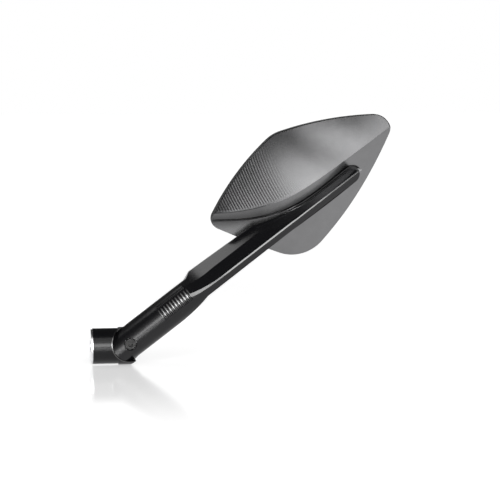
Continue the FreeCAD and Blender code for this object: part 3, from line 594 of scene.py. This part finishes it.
plain_steel = finish("plain_steel", (0.55, 0.55, 0.56), metallic=1.0, roughness=0.35)
bright_steel = finish("bright_steel", (0.78, 0.78, 0.79), metallic=1.0, roughness=0.25,
                      stretch=(1, 0.1, 0.1))
black_steel = finish("black_steel", (0.014, 0.014, 0.014), metallic=0.0, roughness=0.3, ior=1.33)
bush_bronze = finish("bush_bronze", (0.5, 0.33, 0.16), metallic=1.0, roughness=0.4)
friction_plastic = finish("friction_plastic", (0.1, 0.09, 0.08), metallic=0.0, roughness=0.6)
liner_nylon = finish("liner_nylon", (0.75, 0.75, 0.7), metallic=0.0, roughness=0.45)
seat_plastic = finish("seat_plastic", (0.03, 0.03, 0.03), metallic=0.0, roughness=0.5)
tape_foam = finish("tape_foam", (0.02, 0.02, 0.02), metallic=0.0, roughness=0.85)
silvered_glass = finish("silvered_glass", (0.86, 0.88, 0.9), metallic=1.0, roughness=0.02,
                        spread=0.01, tone=0.005, depth=0.0)
print("last plain finish:", silvered_glass.name)

# %% [markdown]
# ## The head's satin grey
# The head is grey anodised aluminium, blasted to a satin and then milled. It is a metal of a darker tone
# than bare aluminium, and the arcs go over it twice: as relief, and as painted shade, a darker tone
# painted into the grooves.

# %% Grey finish
# Painted shade: the second number is how much darker the arcs' grooves are painted.
ARC_DEPTH, ARC_GROOVE_SHADE = 70 * MICRON, 0.55


def mill_arcs(material, depth, darken):
    """Lays the milled arcs over a finish as relief, and paints shade as a darker tone into the grooves and
    the hollows.
    """
    tree = material.node_tree
    shader = tree.nodes["Principled BSDF"]
    place = tree.nodes.new("ShaderNodeTexCoord")
    arcs = add_group(tree, arcs_group, place.outputs["Object"])
    tree.links.new(place.outputs["Normal"], arcs.inputs["Normal"])
    hollows = add_group(tree, painted_shade_group, place.outputs["Object"])
    tree.links.new(place.outputs["Normal"], hollows.inputs["Normal"])
    relief = tree.nodes.new("ShaderNodeBump")
    relief.inputs["Distance"].default_value = depth
    tree.links.new(arcs.outputs["Height"], relief.inputs["Height"])
    tree.links.new(tree.nodes["relief"].outputs["Normal"], relief.inputs["Normal"])
    tree.links.new(relief.outputs["Normal"], shader.inputs["Normal"])
    # Painted shade: the grooves and the hollows are painted darker.
    grooves = calculate(tree, "MULTIPLY_ADD", arcs.outputs["Height"], -darken, 1.0)
    shade = multiply(tree, grooves, calculate(tree, "SUBTRACT", 1.0, hollows.outputs["Shade"]))
    painted_tint = tree.nodes.new("ShaderNodeVectorMath")
    painted_tint.operation = "SCALE"
    tree.links.new(tree.nodes["tint"].outputs["Vector"], painted_tint.inputs[0])
    tree.links.new(shade, painted_tint.inputs["Scale"])
    tree.links.new(painted_tint.outputs["Vector"], shader.inputs["Base Color"])


satin_grey = finish("satin_grey", (0.20, 0.20, 0.203), metallic=1.0, roughness=0.26, scale=1500.0,
                    spread=0.012, specular_tint=0.2)
mill_arcs(satin_grey, ARC_DEPTH, ARC_GROOVE_SHADE)
print("finish:", satin_grey.name)

# %% [markdown]
# ## The arm's and the foot's black
# Arm and foot are black anodised: the arm polished to a gloss, the foot left satin. A black metal would
# lose its highlights, so both are a very dark coat that reflects as varnish does. The masks from above
# then roughen the turned root and paint highlights as metal on the ridge, the ribs and the pocket's edge.

# %% Black finishes
ALONG_ARM = (0.0, ARM_ANGLE, 0.0)
ROOT_ROUGHER = 0.13
# Tones of the metal painted as highlights on the ridge, the ribs and the pocket's edge.
RIDGE_HIGHLIGHT_TONE, RIB_HIGHLIGHT_TONE, POCKET_HIGHLIGHT_TONE = 0.045, 0.45, 0.13


def roughen(material, group, extra):
    """Makes a finish rougher where the group's mask says."""
    tree = material.node_tree
    shader = tree.nodes["Principled BSDF"]
    place = tree.nodes.new("ShaderNodeTexCoord")
    part = add_group(tree, group, place.outputs["Object"])
    smooth = shader.inputs["Roughness"].links[0].from_socket
    rough = calculate(tree, "MULTIPLY_ADD", part.outputs["Mask"], extra, smooth)
    tree.links.new(rough, shader.inputs["Roughness"])


def painted_highlight(material, group, tone):
    """Paints a highlight as metal of this tone over a finish, where the group's mask says."""
    tree = material.node_tree
    shader = tree.nodes["Principled BSDF"]
    place = tree.nodes.new("ShaderNodeTexCoord")
    edge = add_group(tree, group, place.outputs["Object"])
    mix = tree.nodes.new("ShaderNodeMix")
    mix.data_type = "RGBA"
    tree.links.new(edge.outputs["Mask"], mix.inputs["Factor"])
    tree.links.new(shader.inputs["Base Color"].links[0].from_socket, mix.inputs["A"])
    mix.inputs["B"].default_value = grey(tone)
    tree.links.new(mix.outputs["Result"], shader.inputs["Base Color"])
    highlight_metal = edge.outputs["Mask"]
    if shader.inputs["Metallic"].is_linked:
        highlight_metal = greatest(tree, shader.inputs["Metallic"].links[0].from_socket, highlight_metal)
    tree.links.new(highlight_metal, shader.inputs["Metallic"])


gloss_black = finish("gloss_black", (0.006, 0.006, 0.007), metallic=0.0, roughness=0.14,
                     stretch=(0.05, 1, 1), turn=ALONG_ARM, spread=0.01, ior=1.45, depth=2 * MICRON)
roughen(gloss_black, root_group, ROOT_ROUGHER)
# Painted highlights on the ridge and the ribs.
painted_highlight(gloss_black, ridge_highlight_group, RIDGE_HIGHLIGHT_TONE)
painted_highlight(gloss_black, rib_highlight_group, RIB_HIGHLIGHT_TONE)
satin_black = finish("satin_black", (0.005, 0.005, 0.006), metallic=0.0, roughness=0.24,
                     stretch=(1, 0.05, 0.05), spread=0.02, ior=1.42, specular_tint=0.75)
# Painted highlight on the pocket's edge.
painted_highlight(satin_black, pocket_highlight_group, POCKET_HIGHLIGHT_TONE)
print("finishes:", gloss_black.name, satin_black.name)

# %% [markdown]
# ## Dressing the pieces
# Each solid gets one finish. A table from piece to finish is shorter than a line of code for each, and it
# shows at a glance which pieces are made of the same stuff.

# %% Dress the pieces
FINISHES = {
    "foot": satin_black, "mount_bush": bright_steel, "pivot_screw": black_steel, "pivot_washer": plain_steel,
    "disc_springs": plain_steel, "friction_disc": friction_plastic, "lock_nut": plain_steel,
    "pivot_bush": bush_bronze, "arm": gloss_black, "ball_stud": plain_steel, "stud_washer": plain_steel,
    "ball_liner": liner_nylon, "seat_ring": seat_plastic, "seat_cup": seat_plastic,
    "seat_spring": plain_steel, "retainer_plate": plain_steel, "retainer_screws": black_steel,
    "housing": satin_grey, "glass_tape": tape_foam, "mirror_glass": silvered_glass,
}

for node, material in FINISHES.items():
    mesh = nodes[node].data
    mesh.materials.clear()
    mesh.materials.append(material)
print("dressed:", len(FINISHES))

# %% [markdown]
# ## The white floor
# To the camera, and in reflections, the floor is white of its own, more so with distance, so that it runs
# into the white room without a line. More lamps could make it white too, but they would bleach the mirror.
# It still takes the mirror's shadow and, near the foot, a faint reflection of it.

# %% Floor finish
FLOOR_TONE, FLOOR_ROUGHNESS = 0.92, 0.12
NEAR_GLOW, MIDDLE_GLOW, FAR_GLOW = 0.42, 0.73, 0.95
NEAR_SHINE, FAR_SHINE = 0.5, 0.0
NEAR_FADE = (0.06, 0.36)
FAR_FADE = (0.25, 1.3)

floor_white = bpy.data.materials.new("floor_white")
floor_white.use_nodes = True
floor_tree = floor_white.node_tree
floor_shader = floor_tree.nodes["Principled BSDF"]
floor_shader.inputs["Base Color"].default_value = grey(FLOOR_TONE)
floor_shader.inputs["Roughness"].default_value = FLOOR_ROUGHNESS
floor_shader.inputs["Emission Color"].default_value = grey(1.0)
rays = floor_tree.nodes.new("ShaderNodeLightPath")
seen = calculate(floor_tree, "ADD", rays.outputs["Is Camera Ray"], rays.outputs["Is Glossy Ray"])
seen = calculate(floor_tree, "ADD", seen, rays.outputs["Is Transmission Ray"], clamp=True)
floor_place = floor_tree.nodes.new("ShaderNodeTexCoord")
reach = floor_tree.nodes.new("ShaderNodeVectorMath")
reach.operation = "LENGTH"
floor_tree.links.new(floor_place.outputs["Object"], reach.inputs[0])


def fade_out(near, far, start, end):
    """A value that goes smoothly from near the foot to far from it."""
    fade = floor_tree.nodes.new("ShaderNodeMapRange")
    fade.interpolation_type = "SMOOTHSTEP"
    floor_tree.links.new(reach.outputs["Value"], fade.inputs["Value"])
    fade.inputs["From Min"].default_value = start
    fade.inputs["From Max"].default_value = end
    fade.inputs["To Min"].default_value = near
    fade.inputs["To Max"].default_value = far
    return fade.outputs["Result"]


near_glow = fade_out(NEAR_GLOW, MIDDLE_GLOW, *NEAR_FADE)
glow = calculate(floor_tree, "ADD", near_glow, fade_out(0.0, FAR_GLOW - MIDDLE_GLOW, *FAR_FADE))
floor_tree.links.new(multiply(floor_tree, seen, glow), floor_shader.inputs["Emission Strength"])
shine = fade_out(NEAR_SHINE, FAR_SHINE, *NEAR_FADE)
floor_tree.links.new(shine, floor_shader.inputs["Specular IOR Level"])
floor.data.materials.append(floor_white)
print("floor finish:", floor_white.name)
